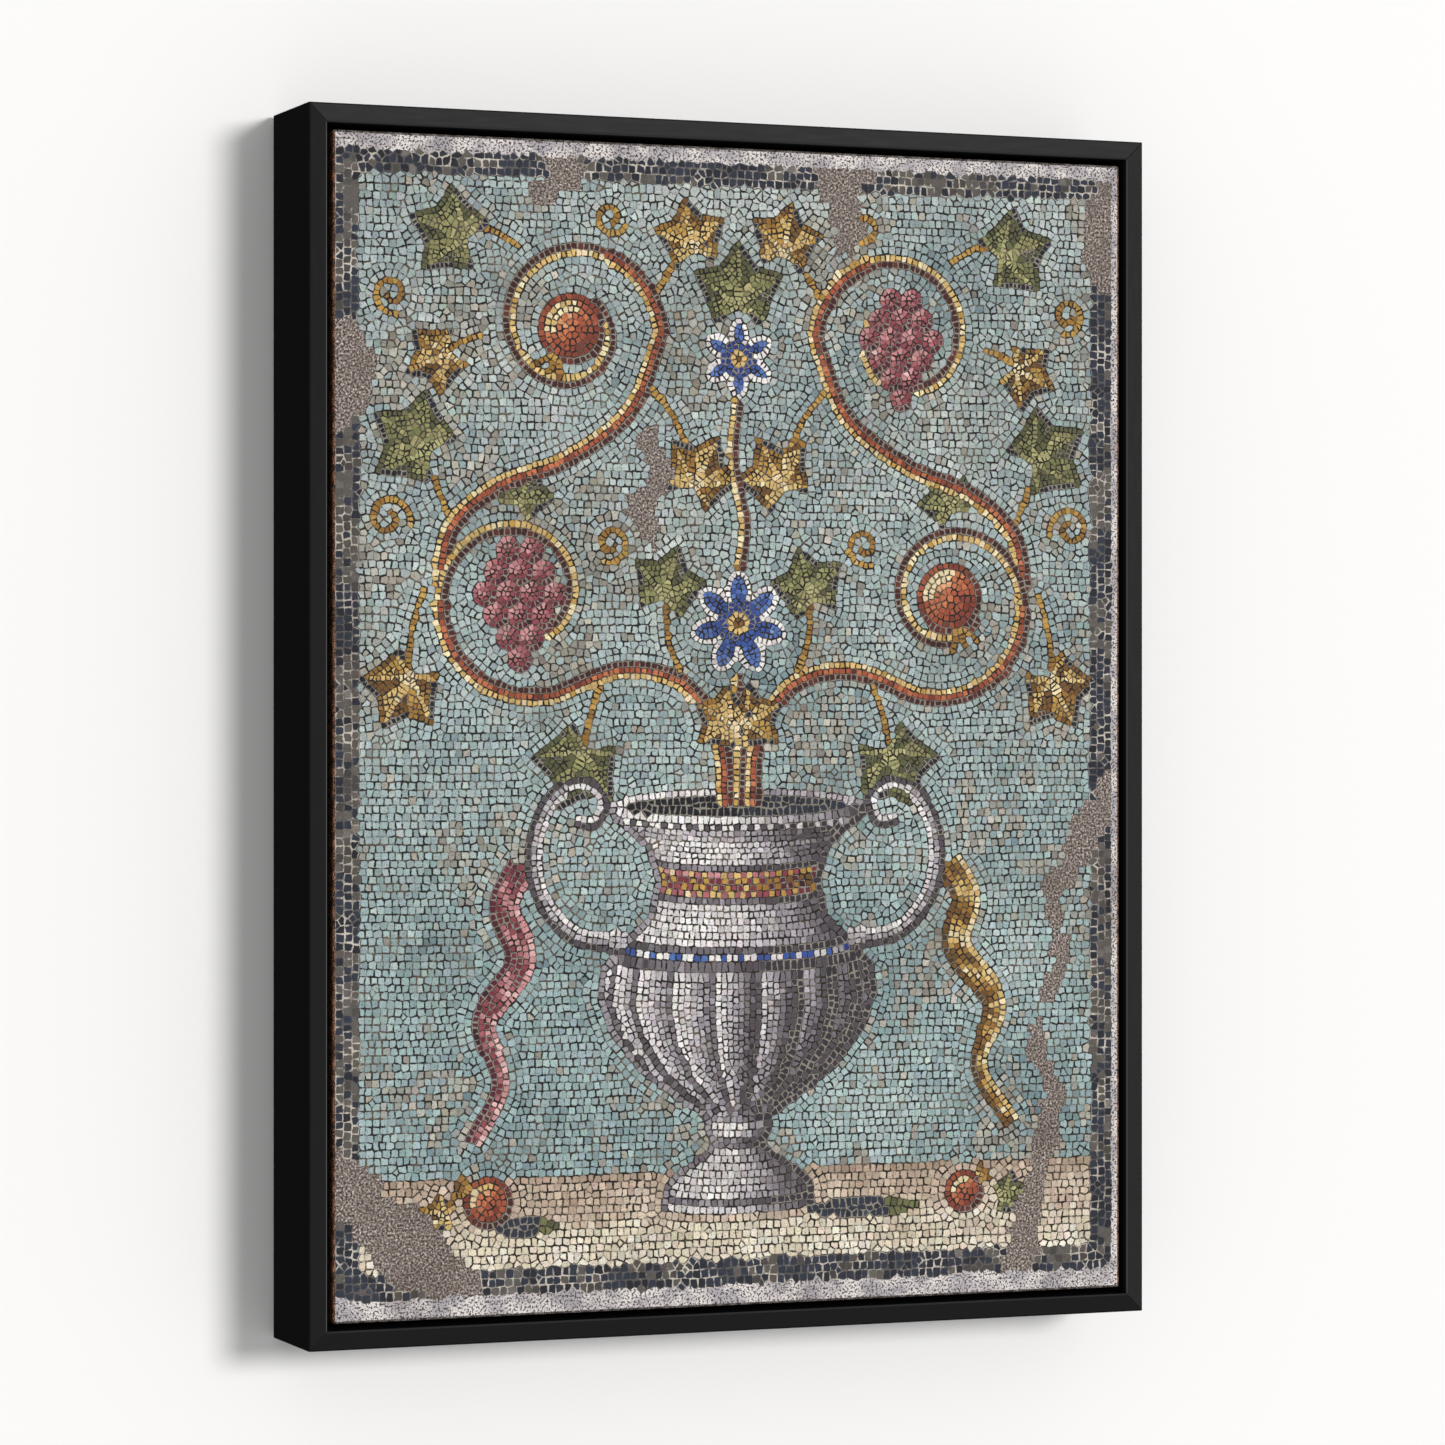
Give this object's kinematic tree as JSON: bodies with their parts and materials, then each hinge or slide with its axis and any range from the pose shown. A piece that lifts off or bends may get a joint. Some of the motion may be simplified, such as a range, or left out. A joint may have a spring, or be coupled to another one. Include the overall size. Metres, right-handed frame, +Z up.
{
  "type": "framed canvas print",
  "caption": "Upright framed canvas print with a mosaic-look picture, stretched on deep bars inside a black floater frame that hangs from a sawtooth hanger.",
  "frame": {"origin": "centre of the outer face of the sawtooth hanger's raised band, in the plane of the wall, 15 mm below the frame's top edge", "axes": "-Y out of the picture towards the viewer, +Y into the wall, +Z up, +X to the viewer's right"},
  "size_m": [0.4344, 0.061, 0.5844],
  "materials": {
    "black_frame": "satin black paint on wood",
    "print": "matt printed canvas",
    "pine": "bare planed pine",
    "zinc": "zinc plated",
    "hanger_brass": "brassed steel",
    "bumper_rubber": "matt"
  },
  "bodies": {
    "root": {"frame_rail_top": "black_frame", "frame_rail_right": "black_frame", "frame_rail_bottom": "black_frame", "frame_rail_left": "black_frame", "stretcher_bar_top": "pine", "stretcher_bar_right": "pine", "stretcher_bar_bottom": "pine", "stretcher_bar_left": "pine", "canvas": "print", "screw_top_1": "zinc", "screw_top_2": "zinc", "screw_right_1": "zinc", "screw_right_2": "zinc", "screw_bottom_1": "zinc", "screw_bottom_2": "zinc", "screw_left_1": "zinc", "screw_left_2": "zinc", "sawtooth_hanger": "hanger_brass", "hanger_nail_left": "hanger_brass", "hanger_nail_right": "hanger_brass", "wall_bumper_left": "bumper_rubber", "wall_bumper_right": "bumper_rubber"}
  },
  "joints": []
}
